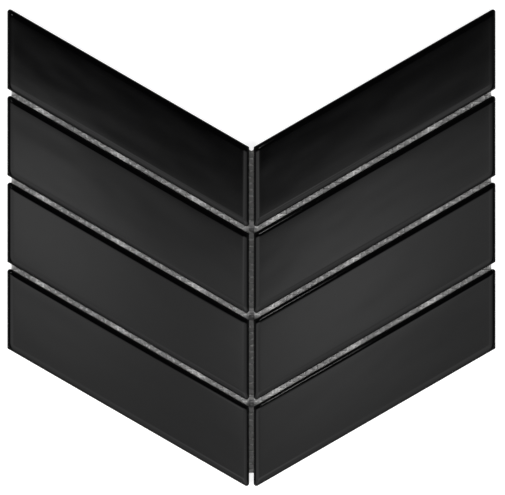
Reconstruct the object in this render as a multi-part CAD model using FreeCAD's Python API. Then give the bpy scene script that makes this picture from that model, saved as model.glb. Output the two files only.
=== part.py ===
import FreeCAD, Part
import math
import os

# A sheet of chevron wall tiles: two mirrored columns of slanted, cushion-edged tiles, face up,
# held together by a trimmed glass-fibre net bonded to their backs.
# Millimetres and degrees. X runs across the sheet, Y towards the open end of the V, Z from back to face.

# Layout of the sheet
tile_rows = 4  # tiles in each column
tile_run = 123.85  # width of a tile across the sheet
tile_width = 36.1  # width of a tile square to its long edges
tile_thickness = 6.0  # back to face
slant_angle = 30.0  # fall of the long edges towards the centre joint
joint_width = 2.3  # open joint between neighbouring tiles, square to their edges

# Pressed edges of a tile
sharp_corner_radius = 1.4  # the two narrow corners, seen from above
blunt_corner_radius = 0.6  # the two wide corners, seen from above
cushion_run = 3.2  # width of the rounded border of the face
cushion_drop = 1.2  # fall of the rounded border, from the face to the side wall
edge_radius = 0.5  # tight round where the border meets the side wall
back_bevel = 0.4  # small bevel round the back

# Keyed back of a tile
key_rim = 4.0  # flat rim left round the grooves
key_rib = 2.4  # rib between two grooves
key_groove_count = 4
key_groove_depth = 0.5

# Backing net, weft yarns laid over warp yarns
yarn_pitch = 3.2
yarn_width = 1.1
yarn_thickness = 0.25
net_side_trim = 1.6  # net edge inside the tiles' outer ends
net_top_trim = 1.0  # net edge inside the V notch, square to the tiles' long edges
net_bottom_trim = 2.0  # net edge inside the bottom row, square to the tiles' long edges
net_tip_trim = 8.0  # straight cut above the point where the bottom edges would meet

slant = math.radians(slant_angle)
side_height = tile_width / math.cos(slant)
row_pitch = (tile_width + joint_width) / math.cos(slant)
column_height = (tile_rows - 1) * row_pitch + side_height
column_centre = (joint_width + tile_run) / 2
sheet_half_width = column_centre + tile_run / 2
net_thickness = 2 * yarn_thickness

across = FreeCAD.Vector(1, 0, 0)
up = FreeCAD.Vector(0, 0, 1)


def slanted_corners(run, width):
    """Plan corners of a shape with upright ends and long edges that fall to the right, counter-clockwise."""
    half_run = run / 2
    half_fall = half_run * math.tan(slant)
    half_side = width / math.cos(slant) / 2
    return [
        FreeCAD.Vector(-half_run, half_fall - half_side, 0),
        FreeCAD.Vector(half_run, -half_fall - half_side, 0),
        FreeCAD.Vector(half_run, -half_fall + half_side, 0),
        FreeCAD.Vector(-half_run, half_fall + half_side, 0),
    ]


def border_section(reach):
    """Section square to an edge of the tile: x inwards from the side wall, z up from the back.
    The face falls to the wall in two tangent arcs, a wide crown and a tight edge."""
    crown_radius = cushion_run ** 2 + cushion_drop ** 2 - 2 * cushion_run * edge_radius
    crown_radius /= 2 * (cushion_drop - edge_radius)
    shoulder = tile_thickness - cushion_drop
    edge_centre = FreeCAD.Vector(edge_radius, 0, shoulder)
    crown_centre = FreeCAD.Vector(cushion_run, 0, tile_thickness - crown_radius)
    to_meeting = (edge_centre - crown_centre).normalize()
    meeting = crown_centre + to_meeting * crown_radius
    edge_middle = edge_centre + (to_meeting - across).normalize() * edge_radius
    crown_middle = crown_centre + (to_meeting + up).normalize() * crown_radius
    wall_top = FreeCAD.Vector(0, 0, shoulder)
    face_start = FreeCAD.Vector(cushion_run, 0, tile_thickness)
    straight = Part.makePolygon([
        face_start,
        FreeCAD.Vector(reach, 0, tile_thickness),
        FreeCAD.Vector(reach, 0, 0),
        FreeCAD.Vector(back_bevel, 0, 0),
        FreeCAD.Vector(0, 0, back_bevel),
        wall_top,
    ])
    edge_arc = Part.Arc(wall_top, edge_middle, meeting).toShape()
    crown_arc = Part.Arc(meeting, crown_middle, face_start).toShape()
    return Part.Face(Part.Wire([edge_arc, crown_arc] + straight.Edges))


def stand_on_edge(section, foot, inward):
    """A section moved to a foot point on the plan outline, with its x axis turned inwards."""
    turn = math.degrees(math.atan2(inward.y, inward.x))
    return section.rotated(FreeCAD.Vector(), up, turn).translated(foot)


def make_edge_bar(start, end):
    """All that lies inside one edge of the tile: its section drawn out along the edge, past both corners."""
    along = (end - start).normalize()
    overrun = tile_run + side_height
    section = stand_on_edge(border_section(overrun), start - along * overrun, up.cross(along))
    return section.extrude(along * (start.distanceToPoint(end) + 2 * overrun))


def make_corner(before, corner, after, radius):
    """The sharp plan corner to take away, and the section turned round the corner's radius to put back."""
    incoming = (corner - before).normalize()
    outgoing = (after - corner).normalize()
    inward = up.cross(incoming)
    turn = incoming.getAngle(outgoing)
    setback = radius * math.tan(turn / 2)
    first_tangent = corner - incoming * setback
    second_tangent = corner + outgoing * setback
    centre = first_tangent + inward * radius
    sharp = Part.Face(Part.makePolygon([first_tangent, corner, second_tangent, centre, first_tangent]))
    within_radius = Part.makeBox(radius, 2 * radius, tile_thickness, FreeCAD.Vector(0, -radius, 0))
    section = border_section(tile_run).common(within_radius).Faces[0]
    rounded = stand_on_edge(section, first_tangent, inward).revolve(centre, up, math.degrees(turn))
    return sharp.extrude(up * tile_thickness), rounded


def make_blank():
    """A tile with its cushion border and rounded corners, before its back is keyed."""
    corners = slanted_corners(tile_run, tile_width)
    radii = [blunt_corner_radius, sharp_corner_radius] * 2
    blank = make_edge_bar(corners[-1], corners[0])
    for start, end in zip(corners, corners[1:]):
        blank = blank.common(make_edge_bar(start, end))
    for index, radius in enumerate(radii):
        after = corners[(index + 1) % len(corners)]
        sharp, rounded = make_corner(corners[index - 1], corners[index], after, radius)
        blank = blank.cut(sharp).fuse(rounded)
    return blank.removeSplitter()


def make_key_grooves():
    """Shallow grooves along the back, parallel to the long edges, that key the tile to its bed."""
    keyed_width = tile_width - 2 * key_rim
    groove_width = (keyed_width - (key_groove_count - 1) * key_rib) / key_groove_count
    corners = slanted_corners(tile_run - 2 * key_rim, groove_width)
    groove = Part.Face(Part.makePolygon(corners + corners[:1])).extrude(up * key_groove_depth)
    step = (groove_width + key_rib) / math.cos(slant)
    first = -step * (key_groove_count - 1) / 2
    return [groove.translated(FreeCAD.Vector(0, first + step * index, 0)) for index in range(key_groove_count)]


def make_tiles():
    """Both columns of tiles on the net, numbered from the open end of the V."""
    left_tile = make_blank().cut(make_key_grooves())
    right_tile = left_tile.mirror(FreeCAD.Vector(), across)
    tiles = {}
    for row in range(tile_rows):
        rise = ((tile_rows - 1) / 2 - row) * row_pitch
        for side, tile, x in (("left", left_tile, -column_centre), ("right", right_tile, column_centre)):
            tiles[f"tile_{side}_{row + 1}"] = tile.translated(FreeCAD.Vector(x, rise, net_thickness))
    return tiles


# Net outline: heights of its slanted edges on the centre line, from which they rise outwards with the tiles
net_half_width = sheet_half_width - net_side_trim
lowest_meeting = -column_height / 2 - column_centre * math.tan(slant)
net_notch = lowest_meeting + column_height - net_top_trim / math.cos(slant)
net_base = lowest_meeting + net_bottom_trim / math.cos(slant)
net_tip = lowest_meeting + net_tip_trim


def make_yarn(x_from, x_to, y_from, y_to, level):
    """One flat yarn, square cut at both ends."""
    corner = FreeCAD.Vector(x_from, y_from, level)
    return Part.makeBox(x_to - x_from, y_to - y_from, yarn_thickness, corner)


def make_warp_yarns():
    """Yarns that run the length of the sheet, under the weft, mirrored about the centre joint."""
    yarns = []
    x = yarn_pitch / 2
    while x + yarn_width / 2 <= net_half_width:
        low = max(net_tip, net_base + x * math.tan(slant))
        high = net_notch + x * math.tan(slant)
        for centre in (-x, x):
            yarns.append(make_yarn(centre - yarn_width / 2, centre + yarn_width / 2, low, high, 0))
        x += yarn_pitch
    return Part.makeCompound(yarns)


def make_weft_yarns():
    """Yarns across the sheet, between the warp and the tile backs, in two lengths where the notch parts them."""
    yarns = []
    highest = net_notch + (net_half_width - yarn_pitch) * math.tan(slant)
    y = net_tip + yarn_pitch / 2
    while y <= highest:
        low = y - yarn_width / 2
        high = y + yarn_width / 2
        inner = (y - net_notch) / math.tan(slant)
        outer = min(net_half_width, (y - net_base) / math.tan(slant))
        if inner > 0:
            yarns.append(make_yarn(-outer, -inner, low, high, yarn_thickness))
            yarns.append(make_yarn(inner, outer, low, high, yarn_thickness))
        else:
            yarns.append(make_yarn(-outer, outer, low, high, yarn_thickness))
        y += yarn_pitch
    return Part.makeCompound(yarns)


pieces = make_tiles()
pieces["net_warp_yarns"] = make_warp_yarns()
pieces["net_weft_yarns"] = make_weft_yarns()

os.makedirs("parts", exist_ok=True)
for name, shape in pieces.items():
    shape.exportStep(f"parts/{name}.step")
    print(f"{name}: {len(shape.Solids)} solid(s), {shape.Volume / 1000:.2f} cm3, valid {shape.isValid()}")
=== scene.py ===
import bpy
import math
from functools import partial
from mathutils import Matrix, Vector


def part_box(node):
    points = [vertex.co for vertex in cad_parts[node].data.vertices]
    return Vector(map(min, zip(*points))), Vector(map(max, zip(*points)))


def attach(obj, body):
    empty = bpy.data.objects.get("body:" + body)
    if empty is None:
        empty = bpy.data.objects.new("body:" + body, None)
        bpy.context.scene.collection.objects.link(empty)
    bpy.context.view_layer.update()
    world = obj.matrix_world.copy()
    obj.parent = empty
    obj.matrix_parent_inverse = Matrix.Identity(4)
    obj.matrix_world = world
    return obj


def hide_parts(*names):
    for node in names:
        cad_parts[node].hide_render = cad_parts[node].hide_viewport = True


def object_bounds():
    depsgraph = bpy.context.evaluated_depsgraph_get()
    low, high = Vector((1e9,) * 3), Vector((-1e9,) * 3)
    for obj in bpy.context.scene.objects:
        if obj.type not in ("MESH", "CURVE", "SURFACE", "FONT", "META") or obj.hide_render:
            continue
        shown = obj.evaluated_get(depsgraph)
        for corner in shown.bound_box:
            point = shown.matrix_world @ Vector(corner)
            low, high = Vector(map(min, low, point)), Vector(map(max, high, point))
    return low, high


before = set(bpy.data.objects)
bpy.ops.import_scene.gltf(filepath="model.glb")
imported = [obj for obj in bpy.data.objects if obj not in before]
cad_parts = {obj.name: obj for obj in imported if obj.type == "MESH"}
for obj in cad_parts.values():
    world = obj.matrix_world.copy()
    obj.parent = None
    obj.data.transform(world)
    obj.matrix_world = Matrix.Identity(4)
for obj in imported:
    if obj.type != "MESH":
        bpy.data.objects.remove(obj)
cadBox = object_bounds()
scene = bpy.context.scene
scene.view_settings.view_transform = "Standard"
mm = 0.001
print("frame loaded:", len(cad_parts), "nodes")


# small helpers for node trees

def plug(tree, socket, value):  # a link where the value is a socket, a fixed number otherwise
    if isinstance(value, bpy.types.NodeSocket):
        tree.links.new(value, socket)
    else:
        socket.default_value = value


def addNode(tree, kind, values=(), **settings):
    node = tree.nodes.new(kind)
    for name, value in settings.items():
        setattr(node, name, value)
    for key, value in dict(values).items():
        plug(tree, node.inputs[key], value)
    return node


def calc(tree, operation, *values):
    return addNode(tree, "ShaderNodeMath", enumerate(values), operation=operation).outputs[0]


def vectorCalc(tree, operation, *values):
    node = addNode(tree, "ShaderNodeVectorMath", enumerate(values), operation=operation)
    return node.outputs["Vector"]


def scaled(tree, vector, amount):
    node = addNode(tree, "ShaderNodeVectorMath", {0: vector, "Scale": amount}, operation="SCALE")
    return node.outputs["Vector"]


def combined(tree, x, y, z):
    return addNode(tree, "ShaderNodeCombineXYZ", {0: x, 1: y, 2: z}).outputs[0]


def chosen(tree, kind, test, ifFalse, ifTrue):
    values = {"Switch": test, "False": ifFalse, "True": ifTrue}
    return addNode(tree, "GeometryNodeSwitch", values, input_type=kind).outputs[0]


def eased(tree, value, low, high, lowResult=0.0, highResult=1.0):  # smooth step between two values
    values = {0: value, 1: low, 2: high, 3: lowResult, 4: highResult}
    return addNode(tree, "ShaderNodeMapRange", values, interpolation_type="SMOOTHSTEP").outputs[0]


def faded(tree, distance, half, soft, inside, outside):  # one result within a half width, another past it
    return eased(tree, distance, half * (1 - soft), half * (1 + soft), inside, outside)


def compared(tree, first, operation, second):
    return addNode(tree, "FunctionNodeCompare", {0: first, 1: second}, operation=operation).outputs[0]


def raised(tree, height):  # a vector straight up
    return addNode(tree, "ShaderNodeCombineXYZ", {2: height}).outputs[0]


def moved(tree, geometry, values):
    return addNode(tree, "GeometryNodeSetPosition", {"Geometry": geometry, **values}).outputs[0]


def painted(tree, geometry, material, **values):
    values = {"Geometry": geometry, "Material": material, **values}
    return addNode(tree, "GeometryNodeSetMaterial", values).outputs[0]


def drifting(tree, where, seed, values):  # noise whose seed shifts it along a fourth axis
    values = {"Vector": where, "W": seed, **values}
    return addNode(tree, "ShaderNodeTexNoise", values, noise_dimensions="4D").outputs


def newTree(name, inputs):
    tree = bpy.data.node_groups.new(name, "GeometryNodeTree")
    tree.interface.new_socket("Geometry", in_out="INPUT", socket_type="NodeSocketGeometry")
    tree.interface.new_socket("Geometry", in_out="OUTPUT", socket_type="NodeSocketGeometry")
    for label, kind in inputs.items():
        tree.interface.new_socket(label, in_out="INPUT", socket_type="NodeSocket" + kind)
    given = tree.nodes.new("NodeGroupInput").outputs
    return tree, given, tree.nodes.new("NodeGroupOutput").inputs[0]


def setNamed(tree, geometry, label, value, kind="FLOAT"):
    values = {"Geometry": geometry, "Name": label, "Value": value}
    return addNode(tree, "GeometryNodeStoreNamedAttribute", values, data_type=kind, domain="POINT").outputs[0]


def getNamed(tree, label, kind="FLOAT"):
    return addNode(tree, "GeometryNodeInputNamedAttribute", {"Name": label}, data_type=kind).outputs[0]


def realized(tree, geometry, sink):
    tree.links.new(addNode(tree, "GeometryNodeRealizeInstances", {0: geometry}).outputs[0], sink)


def grow(name, tree, values, baseMesh=None):  # runs a tree once and keeps its result as a plain mesh
    piece = bpy.data.objects.new(name, baseMesh or bpy.data.meshes.new(name + "Start"))
    scene.collection.objects.link(piece)
    modifier = piece.modifiers.new("grow", "NODES")
    modifier.node_group = tree
    for item in tree.interface.items_tree:
        if item.in_out == "INPUT" and item.name in values:
            modifier[item.identifier] = values[item.name]
    graph = bpy.context.evaluated_depsgraph_get()
    made = bpy.data.meshes.new_from_object(
        piece.evaluated_get(graph), preserve_all_data_layers=True, depsgraph=graph)
    piece.modifiers.remove(modifier)
    piece.data = made
    made.name = name
    return piece


def fit(piece, node):  # a finished piece stands for its solid
    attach(piece, "root")
    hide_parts(node)


# finishes

def newMaterial(name):
    material = bpy.data.materials.new(name)
    material.use_nodes = True
    tree = material.node_tree
    return material, tree, tree.nodes["Principled BSDF"]


def objectCoords(tree):
    return addNode(tree, "ShaderNodeTexCoord").outputs["Object"]


def noise(tree, where, size, detail=2.0, roughness=0.5):  # size of the pattern in metres
    values = {"Vector": where, "Scale": 1 / size, "Detail": detail, "Roughness": roughness}
    return addNode(tree, "ShaderNodeTexNoise", values).outputs[0]


def mixedColor(tree, amount, first, second):
    values = {0: amount, 6: first, 7: second}
    return addNode(tree, "ShaderNodeMix", values, data_type="RGBA").outputs[2]


def bumped(tree, height, distance, strength, under=None):
    values = {"Height": height, "Distance": distance, "Strength": strength}
    if under:
        values["Normal"] = under
    return addNode(tree, "ShaderNodeBump", values).outputs[0]


glazeLook = {
    "deep": (0.0011, 0.0011, 0.0012, 1), "thin": (0.004, 0.0039, 0.0037, 1),
    "cloudSize": 24 * mm, "smudgeSize": 7 * mm, "peelSize": 2.2 * mm,
    "rippleRun": 34 * mm, "rippleWidth": 15 * mm, "rippleHeight": 0.08 * mm,
    "peelHeight": 0.002 * mm, "peelStrength": 0.5, "runOff": 3.0,
    "smudgeLow": 0.3, "smudgeHigh": 0.75, "roughLow": 0.045, "roughHigh": 0.075, "ior": 1.5,
}


def makeGlaze(look):
    material, tree, shader = newMaterial("blackGlaze")
    where = objectCoords(tree)
    border = addNode(tree, "ShaderNodeAttribute", attribute_name="border").outputs["Fac"]
    clouds = noise(tree, where, look["cloudSize"])
    edges = calc(tree, "POWER", border, look["runOff"])
    thinness = calc(tree, "MULTIPLY", clouds, edges)  # the glaze runs off the edges
    plug(tree, shader.inputs["Base Color"], mixedColor(tree, thinness, look["deep"], look["thin"]))
    smudges = noise(tree, where, look["smudgeSize"], detail=4.0, roughness=0.6)
    plug(tree, shader.inputs["Roughness"], eased(
        tree, smudges, look["smudgeLow"], look["smudgeHigh"], look["roughLow"], look["roughHigh"]))
    plug(tree, shader.inputs["IOR"], look["ior"])
    flow = addNode(tree, "ShaderNodeAttribute", attribute_name="flow").outputs["Vector"]
    flow = vectorCalc(tree, "MULTIPLY", flow, (1 / look["rippleRun"], 1 / look["rippleWidth"], 1.0))
    streams = noise(tree, flow, 1.0, detail=1.0, roughness=0.4)  # the glaze flows along the tile
    ripple = bumped(tree, streams, look["rippleHeight"], 1.0)
    peel = noise(tree, where, look["peelSize"], detail=1.0)
    plug(tree, shader.inputs["Normal"], bumped(tree, peel, look["peelHeight"], look["peelStrength"], ripple))
    return material


biscuitLook = {
    "pale": (0.56, 0.52, 0.46, 1), "dark": (0.42, 0.385, 0.335, 1), "speck": (0.12, 0.1, 0.085, 1),
    "blotchSize": 18 * mm, "blotchLow": 0.3, "blotchHigh": 0.7,
    "speckSize": 1.1 * mm, "speckCore": 0.1, "speckEdge": 0.2,  # a speck's reach, in parts of its cell
    "patch": 2.5, "patchLow": 0.55, "patchHigh": 0.62,  # patches with specks, sized in specks
    "grainSize": 0.35 * mm, "grainHeight": 0.06 * mm, "grainStrength": 0.6,
    "grainLow": 0.2, "grainHigh": 0.8, "roughLow": 0.78, "roughHigh": 0.95,
}


def makeBiscuit(look):
    material, tree, shader = newMaterial("bareBiscuit")
    where = objectCoords(tree)
    blotches = noise(tree, where, look["blotchSize"], detail=5.0, roughness=0.6)
    blotches = eased(tree, blotches, look["blotchLow"], look["blotchHigh"])
    body = mixedColor(tree, blotches, look["pale"], look["dark"])
    cells = addNode(tree, "ShaderNodeTexVoronoi", {"Vector": where, "Scale": 1 / look["speckSize"]})
    specks = eased(tree, cells.outputs["Distance"], look["speckCore"], look["speckEdge"], 1.0, 0.0)
    patches = noise(tree, where, look["patch"] * look["speckSize"])
    patches = eased(tree, patches, look["patchLow"], look["patchHigh"])
    specks = calc(tree, "MULTIPLY", specks, patches)
    plug(tree, shader.inputs["Base Color"], mixedColor(tree, specks, body, look["speck"]))
    grain = noise(tree, where, look["grainSize"], detail=3.0, roughness=0.65)
    plug(tree, shader.inputs["Roughness"], eased(
        tree, grain, look["grainLow"], look["grainHigh"], look["roughLow"], look["roughHigh"]))
    plug(tree, shader.inputs["Normal"], bumped(tree, grain, look["grainHeight"], look["grainStrength"]))
    return material


# painted shade: along the centre joint net and floor are darker, most of all where the slanted joints meet
# it, standing in for the shade that falls into these joints
crossShadeLook = {
    "half": 1.55 * mm, "halfSoft": 0.25,  # of the centre joint
    "rise": 2.7 * mm, "riseSoft": 0.2, "tone": 0.45,  # of a meeting
    "place": -1.1 * mm,  # of a meeting, from the foot of the tile above it
}


# gives the factor of painted shade along the centre joint and where the joints meet
def paintedCentreShade(tree, where, look, tone):
    firstFoot, secondFoot = (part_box(f"tile_left_{row}")[0].y for row in (1, 2))  # one row apart
    place = addNode(tree, "ShaderNodeSeparateXYZ", {0: where}).outputs
    aside = calc(tree, "ABSOLUTE", place[0])
    above = calc(tree, "SUBTRACT", place[1], firstFoot + look["place"])
    toMeeting = calc(tree, "PINGPONG", above, (firstFoot - secondFoot) / 2)
    shade = faded(tree, toMeeting, look["rise"], look["riseSoft"], look["tone"] * tone, tone)
    return faded(tree, aside, look["half"], look["halfSoft"], shade, 1.0)


fibreLook = {
    "pale": (0.69, 0.69, 0.69, 1), "shaded": (0.365, 0.365, 0.365, 1), "resin": (0.98, 0.98, 0.98, 1),
    "filaments": 9.0, "filamentRun": 6 * mm, "filamentSize": 0.5, "filamentPart": 0.35,
    "filamentHeight": 0.05 * mm, "filamentStrength": 0.7,
    "blotchSize": 11 * mm, "blotchPart": 0.9, "speckSize": 1.8 * mm, "speckPart": 2.2,
    "shadeLow": 0.5, "shadeHigh": 0.75, "roughness": 0.55,
    "resinPitch": 40 * mm, "resinPlace": 12 * mm, "resinSway": 5 * mm,  # runs of thicker resin
    "resinHalf": 3.6 * mm, "resinSoft": 0.7,
    # painted shade along the centre joint
    "centreShadeTone": 0.96,
}


def resinRuns(tree, where, blotches, look):  # one where the resin lies thick, on yarns and between them
    x = addNode(tree, "ShaderNodeSeparateXYZ", {0: where}).outputs[0]
    swayed = calc(tree, "MULTIPLY_ADD", calc(tree, "SUBTRACT", blotches, 0.5), look["resinSway"], x)
    past = calc(tree, "SUBTRACT", swayed, look["resinPlace"])
    offRun = calc(tree, "PINGPONG", past, look["resinPitch"] / 2)
    return faded(tree, offRun, look["resinHalf"], look["resinSoft"], 1.0, 0.0)


def makeFibre(look):
    material, tree, shader = newMaterial("glassFibre")
    do = partial(calc, tree)
    around = addNode(tree, "ShaderNodeAttribute", attribute_name="round").outputs["Fac"]
    along = addNode(tree, "ShaderNodeAttribute", attribute_name="along").outputs["Fac"]
    lengthwise = combined(tree, do("MULTIPLY", around, look["filaments"]),
                          do("DIVIDE", along, look["filamentRun"]), 0.0)
    filaments = noise(tree, lengthwise, look["filamentSize"], detail=2.0, roughness=0.6)
    where = objectCoords(tree)
    blotches = noise(tree, where, look["blotchSize"], detail=3.0)
    specks = do("SUBTRACT", noise(tree, where, look["speckSize"]), 0.5)
    shade = do("MULTIPLY_ADD", blotches, look["blotchPart"], do("MULTIPLY", filaments, look["filamentPart"]))
    shade = do("MULTIPLY_ADD", specks, look["speckPart"], shade)
    shade = eased(tree, shade, look["shadeLow"], look["shadeHigh"])
    yarn = mixedColor(tree, shade, look["pale"], look["shaded"])
    yarn = mixedColor(tree, resinRuns(tree, where, blotches, look), yarn, look["resin"])
    # painted shade along the centre joint, deepest where the slanted joints meet it
    paintedShade = paintedCentreShade(tree, where, crossShadeLook, look["centreShadeTone"])
    plug(tree, shader.inputs["Base Color"], scaled(tree, yarn, paintedShade))
    plug(tree, shader.inputs["Roughness"], look["roughness"])
    relief = bumped(tree, filaments, look["filamentHeight"], look["filamentStrength"])
    plug(tree, shader.inputs["Normal"], relief)
    return material


blackGlaze = makeGlaze(glazeLook)
bareBiscuit = makeBiscuit(biscuitLook)
glassFibre = makeFibre(fibreLook)
print("finishes made")


# tiles: one tree presses every tile, its seed gives each face its own faint wave

tileSetup = {
    "Width": 36.1 * mm, "Slope": math.tan(math.radians(30)),
    "Cushion run": 3.2 * mm, "Cushion drop": 1.2 * mm,
    "Sharp radius": 1.4 * mm, "Blunt radius": 0.6 * mm, "Back bevel": 0.4 * mm,
    "Border cells": 12, "Cells along": 44, "Cells across": 60, "Crowding": 1.6,  # towards the border
    "Pillow run": 6.0 * mm, "Pillow drop": 0.03 * mm, "Wave height": 0.05 * mm, "Wave size": 45 * mm,
    "Glaze line": 1.5 * mm, "Glaze sway": 0.5 * mm, "Sway scale": 160.0, "Bare share": 0.9,
    "Key rim": 4.0 * mm, "Key rib": 2.4 * mm, "Key grooves": 4, "Key depth": 0.5 * mm, "Key round": 0.5 * mm,
    "Weld": 0.002 * mm, "Crisp angle": 0.6,
}
tiny = 1e-9  # shorter than any length here


def buildTileTree():
    kinds = {label: "Int" if isinstance(value, int) else "Float" for label, value in tileSetup.items()}
    kinds.update({
        "Run": "Float", "Thickness": "Float", "Place": "Vector", "Seed": "Float",
        "Glaze": "Material", "Biscuit": "Material"})
    tree, given, sink = newTree("pressTile", kinds)
    do = partial(calc, tree)
    halfRun = do("MULTIPLY", given["Run"], 0.5)
    halfWidth = do("MULTIPLY", given["Width"], 0.5)
    cushion = given["Cushion run"]
    border = given["Border cells"]
    halfAlong = do("MULTIPLY_ADD", given["Cells along"], 0.5, border)
    halfAcross = do("MULTIPLY_ADD", given["Cells across"], 0.5, border)
    cellsAlong = do("MULTIPLY", halfAlong, 2.0)
    cellsAcross = do("MULTIPLY", halfAcross, 2.0)
    grid = addNode(tree, "GeometryNodeMeshGrid", {
        "Size X": cellsAlong, "Size Y": cellsAcross,
        "Vertices X": do("ADD", cellsAlong, 1.0), "Vertices Y": do("ADD", cellsAcross, 1.0)}).outputs["Mesh"]
    position = addNode(tree, "GeometryNodeInputPosition").outputs[0]
    cell = addNode(tree, "ShaderNodeSeparateXYZ", {0: position}).outputs

    def fromEdge(index, halfCells, half):  # side, depth in from the edge, and turn over the cushion
        steps = do("SUBTRACT", halfCells, do("ABSOLUTE", index))
        turn = do("MULTIPLY", do("MINIMUM", do("DIVIDE", steps, border), 1.0), math.pi / 2)
        bent = do("MULTIPLY", cushion, do("SUBTRACT", 1.0, do("COSINE", turn)))
        flat = do("MAXIMUM", do("SUBTRACT", steps, border), 0.0)
        flat = do("POWER", do("DIVIDE", flat, do("SUBTRACT", halfCells, border)), given["Crowding"])
        depth = do("MULTIPLY_ADD", flat, do("SUBTRACT", half, cushion), bent)
        return do("SIGN", index), depth, do("SINE", turn)

    endSide, endDepth, endRise = fromEdge(cell[0], halfAlong, halfRun)
    longSide, longDepth, longRise = fromEdge(cell[1], halfAcross, halfWidth)
    stretch = do("SQRT", do("MULTIPLY_ADD", given["Slope"], given["Slope"], 1.0))  # one over the cosine

    def slanted(depthEnd, depthLong):  # plan point from its depth in from an end and a long edge
        x = do("MULTIPLY", endSide, do("SUBTRACT", halfRun, depthEnd))
        square = do("MULTIPLY", longSide, do("SUBTRACT", halfWidth, depthLong))
        return combined(tree, x, do("MULTIPLY_ADD", x, given["Slope"], do("MULTIPLY", square, stretch)), 0.0)

    # plan corners, rounded by drawing the points beyond the arc back on to circles round its centre
    corner = do("MULTIPLY", do("MULTIPLY", endSide, longSide), given["Slope"])
    cosTurn = do("DIVIDE", do("MULTIPLY", corner, -1.0), stretch)
    sharp = compared(tree, corner, "GREATER_THAN", 0.0)
    radius = chosen(tree, "FLOAT", sharp, given["Blunt radius"], given["Sharp radius"])
    endReach = do("SUBTRACT", radius, endDepth)
    longReach = do("SUBTRACT", radius, longDepth)
    pastEnd = do("SUBTRACT", endReach, do("MULTIPLY", longReach, cosTurn))
    pastLong = do("SUBTRACT", longReach, do("MULTIPLY", endReach, cosTurn))
    inCorner = compared(tree, do("MINIMUM", pastEnd, pastLong), "GREATER_THAN", tiny)
    plain = slanted(endDepth, longDepth)
    centre = slanted(radius, radius)
    spoke = vectorCalc(tree, "SUBTRACT", plain, centre)
    spokeLength = addNode(tree, "ShaderNodeVectorMath", {0: spoke}, operation="LENGTH").outputs["Value"]
    drawn = do("DIVIDE", do("MAXIMUM", endReach, longReach), do("MAXIMUM", spokeLength, tiny))
    onArc = vectorCalc(tree, "ADD", centre, scaled(tree, spoke, drawn))
    plan = chosen(tree, "VECTOR", inCorner, plain, onArc)
    endNormal = combined(tree, endSide, 0.0, 0.0)
    sideways = do("MULTIPLY", do("MULTIPLY", longSide, given["Slope"]), -1.0)
    longNormal = combined(tree, do("DIVIDE", sideways, stretch), do("DIVIDE", longSide, stretch), 0.0)
    nearEnd = compared(tree, longDepth, "GREATER_THAN", endDepth)
    edgeNormal = chosen(tree, "VECTOR", nearEnd, longNormal, endNormal)
    outward = chosen(tree, "VECTOR", inCorner, edgeNormal, vectorCalc(tree, "NORMALIZE", spoke))

    # face: cushion border, and inside it a slight pillow and a faint wave
    def pillowed(depth):
        inward = do("MINIMUM", do("DIVIDE", depth, given["Pillow run"]), 1.0)
        return do("MULTIPLY", do("POWER", do("SUBTRACT", 1.0, inward), 2.0), given["Pillow drop"])

    rise = do("MULTIPLY", endRise, longRise)
    waveScale = do("DIVIDE", 1.0, given["Wave size"])
    wave = drifting(tree, plan, given["Seed"], {"Scale": waveScale, "Detail": 1.0})[0]
    sunk = do("MULTIPLY_ADD", wave, given["Wave height"], do("ADD", pillowed(endDepth), pillowed(longDepth)))
    fall = do("MULTIPLY_ADD", do("SUBTRACT", 1.0, rise), given["Cushion drop"], do("MULTIPLY", sunk, rise))
    face = raised(tree, do("SUBTRACT", given["Thickness"], fall))

    # back: key grooves along the tile, with soft edges, and a small bevel round them
    keyedWidth = do("SUBTRACT", halfWidth, given["Key rim"])
    across = do("MULTIPLY", longSide, do("SUBTRACT", halfWidth, longDepth))
    groovePitch = do("DIVIDE", do("MULTIPLY_ADD", keyedWidth, 2.0, given["Key rib"]), given["Key grooves"])
    grooveWidth = do("SUBTRACT", groovePitch, given["Key rib"])
    inPitch = do("FLOORED_MODULO", do("ADD", across, keyedWidth), groovePitch)
    inGroove = do("MINIMUM", inPitch, do("SUBTRACT", grooveWidth, inPitch))
    inKeyed = do("SUBTRACT", do("MINIMUM", endDepth, longDepth), given["Key rim"])
    grooved = eased(tree, do("MINIMUM", inGroove, inKeyed), 0.0, given["Key round"])
    drawnIn = do("MULTIPLY", given["Back bevel"], do("SUBTRACT", 1.0, rise))
    underside = vectorCalc(tree, "SUBTRACT", plan, scaled(tree, outward, drawnIn))
    underside = vectorCalc(tree, "ADD", underside, raised(tree, do("MULTIPLY", given["Key depth"], grooved)))

    # the grid carries what both sides need
    carried = setNamed(tree, grid, "plan", plan, "FLOAT_VECTOR")
    carried = setNamed(tree, carried, "underside", underside, "FLOAT_VECTOR")
    carried = setNamed(tree, carried, "face", vectorCalc(tree, "ADD", plan, face), "FLOAT_VECTOR")
    carried = setNamed(tree, carried, "border", do("SUBTRACT", 1.0, rise))
    along = do("MULTIPLY", endSide, do("SUBTRACT", halfRun, endDepth))
    carried = setNamed(tree, carried, "flow", combined(tree, along, across, given["Seed"]), "FLOAT_VECTOR")
    labels = ("plan", "face", "underside")
    planAt, faceAt, underAt = (getNamed(tree, label, "FLOAT_VECTOR") for label in labels)
    top = moved(tree, carried, {"Position": faceAt})
    bottom = moved(tree, carried, {"Position": underAt})
    bottom = addNode(tree, "GeometryNodeFlipFaces", {"Mesh": bottom}).outputs[0]

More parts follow.
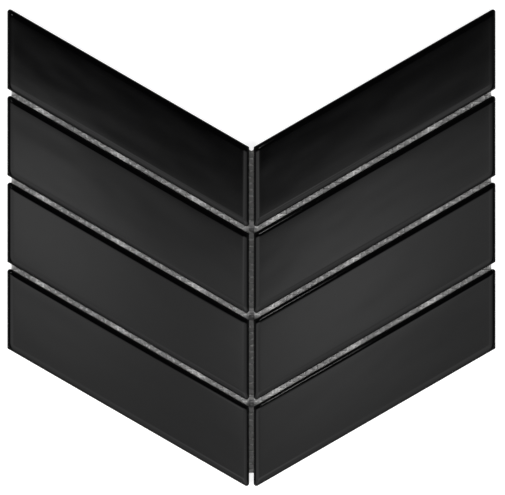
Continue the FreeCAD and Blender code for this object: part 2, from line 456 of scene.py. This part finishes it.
    # side wall: down to the glaze line, to the bevel and in under the back
    faceCount = addNode(tree, "GeometryNodeInputMeshEdgeNeighbors").outputs[0]
    oneFace = {2: faceCount, 3: 1}
    edges = addNode(tree, "FunctionNodeCompare", oneFace, data_type="INT", operation="EQUAL").outputs[0]
    sway = drifting(tree, planAt, given["Seed"], {"Scale": given["Sway scale"], "Detail": 2.0})[0]
    glazeEdge = do("MULTIPLY_ADD", do("SUBTRACT", sway, 0.5), given["Glaze sway"], given["Glaze line"])
    levels = (glazeEdge, given["Back bevel"])
    steps = [vectorCalc(tree, "ADD", planAt, raised(tree, level)) for level in levels]
    wall = top
    for target in steps + [underAt]:
        drop = addNode(tree, "GeometryNodeExtrudeMesh", {
            "Mesh": wall, "Selection": edges, "Offset": (0, 0, 0), "Offset Scale": 0.0}, mode="EDGES").outputs
        edges = drop["Top"]
        wall = moved(tree, drop["Mesh"], {"Selection": edges, "Position": target})

    joined = addNode(tree, "GeometryNodeJoinGeometry")
    for part in (bottom, wall):
        tree.links.new(part, joined.inputs[0])
    shell = addNode(tree, "GeometryNodeMergeByDistance", {
        "Geometry": joined.outputs[0], "Distance": given["Weld"]}).outputs[0]
    shell = addNode(tree, "GeometryNodeSetShadeSmooth", {"Geometry": shell}).outputs[0]
    bend = addNode(tree, "GeometryNodeInputMeshEdgeAngle").outputs[0]
    crisp = compared(tree, bend, "GREATER_THAN", given["Crisp angle"])
    shell = addNode(tree, "GeometryNodeSetShadeSmooth", {
        "Geometry": shell, "Selection": crisp, "Shade Smooth": False}, domain="EDGE").outputs[0]
    height = addNode(tree, "ShaderNodeSeparateXYZ", {0: position}).outputs[2]
    bare = compared(tree, height, "LESS_THAN", do("MULTIPLY", given["Glaze line"], given["Bare share"]))
    for label in labels:
        shell = addNode(tree, "GeometryNodeRemoveAttribute", {"Geometry": shell, "Name": label}).outputs[0]
    shell = painted(tree, shell, given["Glaze"])
    shell = painted(tree, shell, given["Biscuit"], Selection=bare)
    placed = {"Geometry": shell, "Translation": given["Place"]}
    realized(tree, addNode(tree, "GeometryNodeTransform", placed).outputs[0], sink)
    return tree


tileTree = buildTileTree()
tileNodes = sorted(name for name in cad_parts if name.startswith("tile_"))
firstSeed, seedStep = 3.0, 1.7
for index, node in enumerate(tileNodes):
    low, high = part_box(node)
    side = -1 if "left" in node else 1
    values = dict(tileSetup)
    values["Run"] = high.x - low.x
    values["Thickness"] = high.z - low.z
    values["Slope"] = side * tileSetup["Slope"]
    values["Place"] = ((low.x + high.x) / 2, (low.y + high.y) / 2, low.z)
    values["Seed"] = firstSeed + seedStep * index
    values["Glaze"] = blackGlaze
    values["Biscuit"] = bareBiscuit
    tile = grow(node.replace("_", "."), tileTree, values)
    fit(tile, node)
print("tiles pressed:", len(tileNodes), "of", len(tile.data.polygons), "faces")


# net: yarns grown along the centre lines of the solids' yarns

netSetup = {
    "Sides": 8, "Step": 1.6 * mm, "Sway": 0.05 * mm, "Sway scale": 90.0, "Swell": 0.06, "Seed": 11.0,
}


def yarnLines(node, across, along):  # centre lines of one set of yarns, from the flat sides of its solids
    rows = {}
    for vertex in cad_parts[node].data.vertices:
        rows.setdefault(round(vertex.co[across], 6), set()).add(round(vertex.co[along], 6))
    sides = sorted(rows)
    lines = []
    for low, high in zip(sides[::2], sides[1::2]):
        ends = sorted(rows[low])
        lines += [((low + high) / 2, start, end) for start, end in zip(ends[::2], ends[1::2])]
    return lines, sides[1] - sides[0]


def buildYarnTree():
    tree, given, sink = newTree("layYarns", {
        "Width": "Float", "Thickness": "Float", "Sides": "Int", "Step": "Float", "Sway": "Float",
        "Sway scale": "Float", "Swell": "Float", "Seed": "Float", "Fibre": "Material"})
    do = partial(calc, tree)
    lines = addNode(tree, "GeometryNodeMeshToCurve", {"Mesh": given["Geometry"]}).outputs[0]
    stepped = {"Curve": lines, "Length": given["Step"]}
    lines = addNode(tree, "GeometryNodeResampleCurve", stepped, mode="LENGTH").outputs[0]
    lines = addNode(tree, "GeometryNodeSetCurveNormal", {"Curve": lines}, mode="Z_UP").outputs[0]
    along = addNode(tree, "GeometryNodeSplineParameter").outputs
    lines = setNamed(tree, lines, "along", along["Length"])
    position = addNode(tree, "GeometryNodeInputPosition").outputs[0]
    drift = drifting(tree, position, given["Seed"], {"Scale": given["Sway scale"], "Detail": 2.0})
    wander = vectorCalc(tree, "SUBTRACT", drift["Color"], (0.5, 0.5, 0.5))
    wander = vectorCalc(tree, "MULTIPLY", scaled(tree, wander, given["Sway"]), (1, 1, 0))  # stays level
    lines = moved(tree, lines, {"Offset": wander})
    unitCircle = {"Resolution": given["Sides"], "Radius": 0.5}
    outline = addNode(tree, "GeometryNodeCurvePrimitiveCircle", unitCircle).outputs[0]
    outline = setNamed(tree, outline, "round", along["Factor"])
    outline = addNode(tree, "GeometryNodeTransform", {
        "Geometry": outline, "Scale": combined(tree, given["Width"], given["Thickness"], 1.0)}).outputs[0]
    girth = do("SUBTRACT", 1.0, do("MULTIPLY", drift["Fac"], given["Swell"]))
    yarns = addNode(tree, "GeometryNodeCurveToMesh", {
        "Curve": lines, "Profile Curve": outline, "Scale": girth, "Fill Caps": True}).outputs[0]
    yarns = addNode(tree, "GeometryNodeSetShadeSmooth", {"Geometry": yarns}).outputs[0]
    realized(tree, painted(tree, yarns, given["Fibre"]), sink)
    return tree


yarnTree = buildYarnTree()
for node, across, along in (("net_warp_yarns", 0, 1), ("net_weft_yarns", 1, 0)):
    low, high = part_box(node)
    lines, yarnWidth = yarnLines(node, across, along)
    points, edges = [], []
    for centre, start, end in lines:
        for reach in (start, end):
            point = [0.0, 0.0, (low.z + high.z) / 2]
            point[across], point[along] = centre, reach
            points.append(point)
        edges.append((len(points) - 2, len(points) - 1))
    centreLines = bpy.data.meshes.new(node + "Lines")
    centreLines.from_pydata(points, edges, [])
    values = dict(netSetup)
    values["Width"] = yarnWidth
    values["Thickness"] = high.z - low.z
    values["Fibre"] = glassFibre
    yarns = grow(node.replace("_", "."), yarnTree, values, centreLines)
    fit(yarns, node)
    print(node, "laid:", len(lines), "yarns,", len(yarns.data.polygons), "faces")


# floor, light and camera

def makePlane(name, half, height=0.0, facing=1):  # a level square that faces up, or down where facing is -1
    mesh = bpy.data.meshes.new(name)
    corners = [(-half, -half, 0), (half, -half, 0), (half, half, 0), (-half, half, 0)]
    mesh.from_pydata(corners, [], [(0, 1, 2, 3) if facing > 0 else (0, 3, 2, 1)])
    plane = bpy.data.objects.new(name, mesh)
    plane.location = (0, 0, height)
    scene.collection.objects.link(plane)
    return plane


floorSetup = {
    "half": 3.0, "color": (0.45, 0.45, 0.45, 1), "resin": (0.72, 0.72, 0.72, 1),
    "glow": 0.82, "roughness": 0.9,
}


def underNet(tree):  # one where the net covers the floor: a V between two slanted edges, with a cut-off point
    warp = {abs(line[0]): line[1:] for line in yarnLines("net_warp_yarns", 0, 1)[0]}
    first, last = min(warp), max(warp)
    slope = (warp[last][1] - warp[first][1]) / (last - first)
    place = addNode(tree, "ShaderNodeSeparateXYZ", {0: objectCoords(tree)}).outputs
    aside = calc(tree, "ABSOLUTE", place[0])
    lifted = calc(tree, "SUBTRACT", place[1], calc(tree, "MULTIPLY", aside, slope))
    tests = [
        calc(tree, "LESS_THAN", lifted, warp[first][1] - slope * first),
        calc(tree, "GREATER_THAN", lifted, warp[last][0] - slope * last),
        calc(tree, "GREATER_THAN", place[1], warp[first][0]),
        calc(tree, "LESS_THAN", aside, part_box("net_weft_yarns")[1].x),
    ]
    covered = tests[0]
    for test in tests[1:]:
        covered = calc(tree, "MULTIPLY", covered, test)
    return covered


# under the net the floor takes the net's tones and doesn't glow, so that the joints keep their shade; where
# the joints meet it carries painted shade
def makeFloor(setup):
    floor = makePlane("floor", setup["half"])
    material, tree, shader = newMaterial("paleFloor")
    where = objectCoords(tree)
    covered = underNet(tree)
    blotches = noise(tree, where, fibreLook["blotchSize"], detail=3.0)
    resin = calc(tree, "MULTIPLY", covered, resinRuns(tree, where, blotches, fibreLook))
    color = mixedColor(tree, resin, setup["color"], setup["resin"])
    # painted shade where the slanted joints meet the centre joint
    shade = calc(tree, "SUBTRACT", paintedCentreShade(tree, where, crossShadeLook, 1.0), 1.0)
    shade = calc(tree, "MULTIPLY_ADD", covered, shade, 1.0)
    plug(tree, shader.inputs["Base Color"], scaled(tree, color, shade))
    plug(tree, shader.inputs["Roughness"], setup["roughness"])
    path = addNode(tree, "ShaderNodeLightPath").outputs
    mirrored = calc(tree, "MAXIMUM", path["Is Glossy Ray"], path["Is Transmission Ray"])
    seen = calc(tree, "MAXIMUM", path["Is Camera Ray"], mirrored)
    glow = calc(tree, "MULTIPLY", calc(tree, "SUBTRACT", 1.0, covered), setup["glow"])
    plug(tree, shader.inputs["Emission Color"], (1, 1, 1, 1))
    plug(tree, shader.inputs["Emission Strength"], calc(tree, "MULTIPLY", seen, glow))
    floor.data.materials.append(material)


# places on the panel are told by the slope at which the camera sees them mirrored in a level face
panelSetup = {
    "height": 1.4, "half": 2.8,
    "dark": 0.07, "blackLow": -0.046, "blackHigh": -0.031,  # level in the dark V, and where it goes black
    "vSlope": 0.577, "vReach": 0.1, "vLow": -0.037, "vHigh": 0.03,  # edge of the dark V
    "bright": 0.86, "tailLow": 0.035, "tailHigh": 0.1, "tail": 0.68,  # over the faces, falling to the foot
    "bandPitch": 0.115, "bandPlace": 0.033, "band": 0.26, "bandTail": 0.4,  # soft bands side by side
    "far": 0.87, "farLow": 0.095, "farHigh": 0.14,  # level that only the cushion edges mirror
    "frontLow": 0.06, "frontHigh": 0.3, "front": 0.72,  # its fall to the foot
    "slot": 1.35, "slotLow": 0.03, "slotHigh": 0.08,  # brighter lane over the centre joint
    "sideLow": 0.26, "sideHigh": 0.4, "footLow": 0.4, "footHigh": 0.97,  # where the panel ends
    "gap": 0.6, "gapLow": 0.1, "gapHigh": 0.2, "gapHalf": 0.1, "gapSoft": 0.6,  # dimmer stretch on the right
    "strip": 17.0, "stripPlace": 0.2, "stripHalf": 0.011,  # short bright strip beyond the V, on the left
    "stripLow": 0.085, "stripHigh": 0.12, "stripEnd": 0.15,
    "restLow": 0.42, "restHigh": 0.75, "restFront": 0.3, "restBack": 0.07,  # surroundings, seen from low down
}


def makePanel(setup):
    panel = makePlane("panel", setup["half"], cadBox[1].z + setup["height"], -1)
    panel.visible_camera = False
    material, tree, shader = newMaterial("softPanel")
    do = partial(calc, tree)

    def between(value, name, lowResult, highResult):  # eased between two of the places set above
        return eased(tree, value, setup[name + "Low"], setup[name + "High"], lowResult, highResult)

    span = setup["height"] + cameraSetup["height"]  # from the camera's mirror image up to the panel
    place = addNode(tree, "ShaderNodeSeparateXYZ", {0: scaled(tree, objectCoords(tree), 1 / span)}).outputs
    across, ahead = place[0], place[1]
    aside = do("ABSOLUTE", across)
    toLeft = do("MULTIPLY", across, -1.0)
    toFoot = do("MULTIPLY", ahead, -1.0)
    lean = do("SQRT", do("MULTIPLY_ADD", aside, aside, do("MULTIPLY", ahead, ahead)))
    wedge = do("MULTIPLY_ADD", do("MINIMUM", aside, setup["vReach"]), setup["vSlope"], toFoot)

    # level over the faces, in soft bands
    bandTurn = do("MULTIPLY", do("SUBTRACT", across, setup["bandPlace"]), 2 * math.pi / setup["bandPitch"])
    swing = between(wedge, "tail", setup["band"], setup["band"] * setup["bandTail"])
    near = do("MULTIPLY", do("COSINE", bandTurn), swing)
    near = do("MULTIPLY_ADD", near, setup["bright"], setup["bright"])
    near = do("MULTIPLY", near, between(wedge, "tail", 1.0, setup["tail"]))

    # level further out, for the cushion edges
    far = between(aside, "side", setup["far"], 0.0)
    front = between(toFoot, "front", 1.0, setup["front"])
    far = do("MULTIPLY", far, between(aside, "slot", setup["slot"], front))
    far = do("MULTIPLY", far, between(toFoot, "foot", 1.0, 0.0))
    gap = between(across, "gap", 1.0, setup["gap"])
    gap = faded(tree, do("ABSOLUTE", ahead), setup["gapHalf"], setup["gapSoft"], gap, 1.0)
    lit = do("MULTIPLY", between(lean, "far", near, far), gap)

    # the dark V, the strip beyond it and the surroundings
    dark = between(wedge, "black", 0.0, setup["dark"])
    level = between(wedge, "v", dark, lit)
    strip = between(toLeft, "strip", 0.0, setup["strip"])
    strip = eased(tree, toLeft, setup["stripEnd"], setup["stripEnd"] + setup["stripHalf"], strip, 0.0)
    offStrip = do("ABSOLUTE", do("SUBTRACT", ahead, setup["stripPlace"]))
    strip = eased(tree, offStrip, 0.0, setup["stripHalf"], strip, 0.0)
    rest = eased(tree, ahead, -setup["restHigh"], setup["restHigh"], setup["restFront"], setup["restBack"])
    rest = between(lean, "rest", 0.0, rest)
    plug(tree, shader.inputs["Base Color"], (0, 0, 0, 1))
    plug(tree, shader.inputs["Specular IOR Level"], 0.0)
    plug(tree, shader.inputs["Emission Color"], (1, 1, 1, 1))
    plug(tree, shader.inputs["Emission Strength"], do("MAXIMUM", do("ADD", level, strip), rest))
    panel.data.materials.append(material)


skySetup = {"front": 0.3, "back": 0.1, "frontEdge": -0.4, "backEdge": 0.6}  # glow before and behind the sheet


def makeBackground(setup):  # white to the camera only, a faint glow to all else
    world = bpy.data.worlds.new("white")
    scene.world = world
    world.use_nodes = True
    tree = world.node_tree
    seen = addNode(tree, "ShaderNodeLightPath").outputs["Is Camera Ray"]
    way = addNode(tree, "ShaderNodeTexCoord").outputs["Generated"]
    back = addNode(tree, "ShaderNodeSeparateXYZ", {0: way}).outputs[1]
    glow = eased(tree, back, setup["frontEdge"], setup["backEdge"], setup["front"], setup["back"])
    plug(tree, tree.nodes["Background"].inputs["Color"], (1, 1, 1, 1))
    plug(tree, tree.nodes["Background"].inputs["Strength"], calc(tree, "MAXIMUM", seen, glow))


lampSetup = {
    "frontLeft": {"at": (-0.75, -0.43, 1.0), "size": 0.42, "power": 9.6},
    "frontRight": {"at": (0.75, -0.43, 1.0), "size": 0.42, "power": 9.6},
    "front": {"at": (0.0, -0.87, 1.0), "size": 0.42, "power": 1.07},
}


def makeLamps(setup):
    for name, lamp in setup.items():
        data = bpy.data.lights.new(name + "Softbox", "AREA")
        data.size, data.energy = lamp["size"], lamp["power"]
        softbox = bpy.data.objects.new(name + "Softbox", data)
        softbox.location = lamp["at"]
        softbox.visible_glossy = False  # the glaze mirrors the panel overhead only
        softbox.rotation_euler = (-softbox.location).to_track_quat("-Z", "Y").to_euler()
        scene.collection.objects.link(softbox)


cameraSetup = {"height": 1.35, "frameWidth": 258.4 * mm, "aimX": 0.56 * mm, "aimY": 0.1 * mm, "sensor": 36.0}


def makeCamera(setup):  # straight down on the glazed faces, the open end of the V at the top
    data = bpy.data.cameras.new("overhead")
    data.sensor_width = setup["sensor"]
    data.lens = setup["sensor"] * setup["height"] / setup["frameWidth"]
    camera = bpy.data.objects.new("overhead", data)
    camera.location = (setup["aimX"], setup["aimY"], cadBox[1].z + setup["height"])
    scene.collection.objects.link(camera)
    scene.camera = camera


makeFloor(floorSetup)
makePanel(panelSetup)
makeBackground(skySetup)
makeLamps(lampSetup)
makeCamera(cameraSetup)
print("floor, light and camera set")
